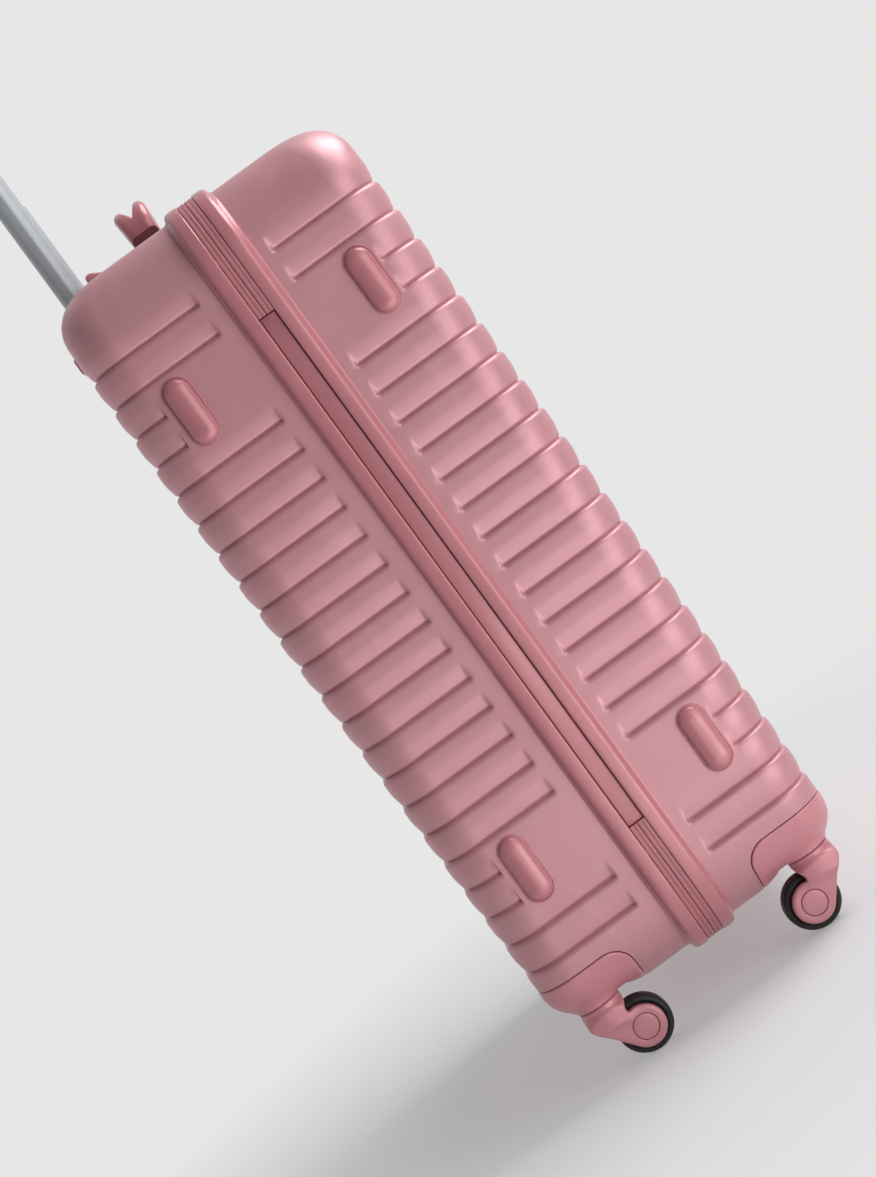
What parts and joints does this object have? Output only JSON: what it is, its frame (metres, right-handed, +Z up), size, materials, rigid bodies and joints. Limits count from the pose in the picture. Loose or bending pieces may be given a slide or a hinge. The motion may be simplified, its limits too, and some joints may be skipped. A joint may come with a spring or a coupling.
{
  "type": "hard shell suitcase on wheels",
  "caption": "Upright hard shell suitcase with horizontal grooves, rounded corners, swivel casters, side feet, carry handles and a telescopic trolley handle drawn out.",
  "frame": {"origin": "on the floor, under the middle of the whole object's bounding box", "axes": "+Z up, the front shell faces -Y, the hinge and its side feet face -X, the lock and the side handle face +X"},
  "size_m": [0.5474, 0.2868, 1.0815],
  "materials": {
    "shell": "satin, faintly pearlescent",
    "trim": "satin moulded plastic",
    "zip": "ribbed welt over the zip tape",
    "tyre": "matt",
    "hub": "moulded",
    "tube": "anodised",
    "steel": "satin plated",
    "lining": "woven lining",
    "strap": "woven webbing"
  },
  "bodies": {
    "rear_case": {"rear_shell": "shell", "rear_rim": "trim", "rear_zip_tape": "zip", "rear_lining": "lining", "packing_straps": "strap", "rear_left_housing": "trim", "rear_right_housing": "trim", "rear_upper_foot": "trim", "rear_lower_foot": "trim", "trolley_cup": "trim", "trolley_foot": "hub", "trolley_channel_left": "tube", "trolley_channel_right": "tube", "top_handle_anchor_a": "trim", "top_handle_anchor_b": "trim", "side_handle_anchor_a": "trim", "side_handle_anchor_b": "trim"},
    "hinge_flap": {"hinge_strip": "trim"},
    "front_case": {"front_shell": "shell", "front_rim": "trim", "front_zip_tape": "zip", "front_lining": "lining", "front_pocket": "lining", "front_left_housing": "trim", "front_right_housing": "trim", "front_upper_foot": "trim", "front_lower_foot": "trim", "lock_body": "steel"},
    "trolley_lower": {"trolley_lower_tube_left": "tube", "trolley_lower_tube_right": "tube"},
    "trolley_upper": {"trolley_upper_tube_left": "tube", "trolley_upper_tube_right": "tube", "trolley_grip": "trim"},
    "trolley_button": {"trolley_button": "hub"},
    "top_handle": {"top_handle": "trim"},
    "side_handle": {"side_handle": "trim"},
    "dial_1": {"lock_dial_1": "hub"},
    "dial_2": {"lock_dial_2": "hub"},
    "dial_3": {"lock_dial_3": "hub"},
    "lock_release": {"lock_release": "steel"},
    "upper_slider": {"upper_zip_slider": "steel"},
    "upper_pull": {"upper_zip_pull": "steel"},
    "lower_slider": {"lower_zip_slider": "steel"},
    "lower_pull": {"lower_zip_pull": "steel"},
    "rear_left_caster": {"rear_left_fork": "trim", "rear_left_axle": "trim"},
    "rear_left_wheel": {"rear_left_hub": "hub", "rear_left_tyre": "tyre"},
    "rear_right_caster": {"rear_right_fork": "trim", "rear_right_axle": "trim"},
    "rear_right_wheel": {"rear_right_hub": "hub", "rear_right_tyre": "tyre"},
    "front_left_caster": {"front_left_fork": "trim", "front_left_axle": "trim"},
    "front_left_wheel": {"front_left_hub": "hub", "front_left_tyre": "tyre"},
    "front_right_caster": {"front_right_fork": "trim", "front_right_axle": "trim"},
    "front_right_wheel": {"front_right_hub": "hub", "front_right_tyre": "tyre"}
  },
  "joints": [
    {"name": "case_open", "type": "hinge", "parent": "hinge_flap", "child": "front_case", "pos_m": [-0.27327, -0.01425, 0.4105], "axis": [0, 0, -1], "range_deg": [0, 90]},
    {"name": "hinge_flap_fold", "type": "hinge", "parent": "rear_case", "child": "hinge_flap", "pos_m": [-0.27327, 0.00034, 0.4105], "axis": [0, 0, -1], "range_deg": [0, 90]},
    {"name": "rear_left_swivel", "type": "hinge", "parent": "rear_case", "child": "rear_left_caster", "pos_m": [-0.22168, 0.10275, 0.06], "axis": [0, 0, 1], "continuous": true},
    {"name": "rear_left_roll", "type": "hinge", "parent": "rear_left_caster", "child": "rear_left_wheel", "pos_m": [-0.22168, 0.08235, 0.0242], "axis": [1, 0, 0], "continuous": true},
    {"name": "rear_right_swivel", "type": "hinge", "parent": "rear_case", "child": "rear_right_caster", "pos_m": [0.19232, 0.10275, 0.06], "axis": [0, 0, 1], "continuous": true},
    {"name": "rear_right_roll", "type": "hinge", "parent": "rear_right_caster", "child": "rear_right_wheel", "pos_m": [0.19232, 0.08235, 0.0242], "axis": [1, 0, 0], "continuous": true},
    {"name": "front_left_swivel", "type": "hinge", "parent": "front_case", "child": "front_left_caster", "pos_m": [-0.22168, -0.10595, 0.06], "axis": [0, 0, 1], "continuous": true},
    {"name": "front_left_roll", "type": "hinge", "parent": "front_left_caster", "child": "front_left_wheel", "pos_m": [-0.22168, -0.08555, 0.0242], "axis": [1, 0, 0], "continuous": true},
    {"name": "front_right_swivel", "type": "hinge", "parent": "front_case", "child": "front_right_caster", "pos_m": [0.19232, -0.10595, 0.06], "axis": [0, 0, 1], "continuous": true},
    {"name": "front_right_roll", "type": "hinge", "parent": "front_right_caster", "child": "front_right_wheel", "pos_m": [0.19232, -0.08555, 0.0242], "axis": [1, 0, 0], "continuous": true},
    {"name": "trolley_lower_slide", "type": "slide", "parent": "rear_case", "child": "trolley_lower", "axis": [0, 0, 1], "range_m": [-0.15, 0]},
    {"name": "trolley_upper_slide", "type": "slide", "parent": "trolley_lower", "child": "trolley_upper", "axis": [0, 0, 1], "range_m": [-0.15, 0]},
    {"name": "trolley_button_press", "type": "slide", "parent": "trolley_upper", "child": "trolley_button", "axis": [0, 0, -1], "range_m": [0, 0.004], "stiffness_N_per_m": 500},
    {"name": "top_handle_play", "type": "slide", "parent": "rear_case", "child": "top_handle", "axis": [0, 0, 1], "range_m": [0, 0.004], "stiffness_N_per_m": 800},
    {"name": "side_handle_play", "type": "slide", "parent": "rear_case", "child": "side_handle", "axis": [1, 0, 0], "range_m": [0, 0.004], "stiffness_N_per_m": 800},
    {"name": "upper_slider_run", "type": "slide", "parent": "rear_case", "child": "upper_slider", "axis": [0, 0, 1], "range_m": [0, 0.2]},
    {"name": "upper_pull_flip", "type": "hinge", "parent": "upper_slider", "child": "upper_pull", "pos_m": [0.24932, -0.00696, 0.4255], "axis": [0, 0, 1], "range_deg": [0, 170]},
    {"name": "lower_slider_run", "type": "slide", "parent": "rear_case", "child": "lower_slider", "axis": [0, 0, 1], "range_m": [-0.2, 0]},
    {"name": "lower_pull_flip", "type": "hinge", "parent": "lower_slider", "child": "lower_pull", "pos_m": [0.24932, -0.00696, 0.3955], "axis": [0, 0, 1], "range_deg": [0, 170]},
    {"name": "lock_release_slide", "type": "slide", "parent": "front_case", "child": "lock_release", "axis": [0, -1, 0], "range_m": [0, 0.004], "stiffness_N_per_m": 200},
    {"name": "dial_1_turn", "type": "hinge", "parent": "front_case", "child": "dial_1", "pos_m": [0.24672, -0.04695, 0.4031], "axis": [0, 0, 1], "continuous": true},
    {"name": "dial_2_turn", "type": "hinge", "parent": "front_case", "child": "dial_2", "pos_m": [0.24672, -0.04695, 0.4105], "axis": [0, 0, 1], "continuous": true},
    {"name": "dial_3_turn", "type": "hinge", "parent": "front_case", "child": "dial_3", "pos_m": [0.24672, -0.04695, 0.4179], "axis": [0, 0, 1], "continuous": true}
  ],
  "couplings": [
    {"joint": "hinge_flap_fold", "follows": "case_open", "ratio": 1}
  ]
}
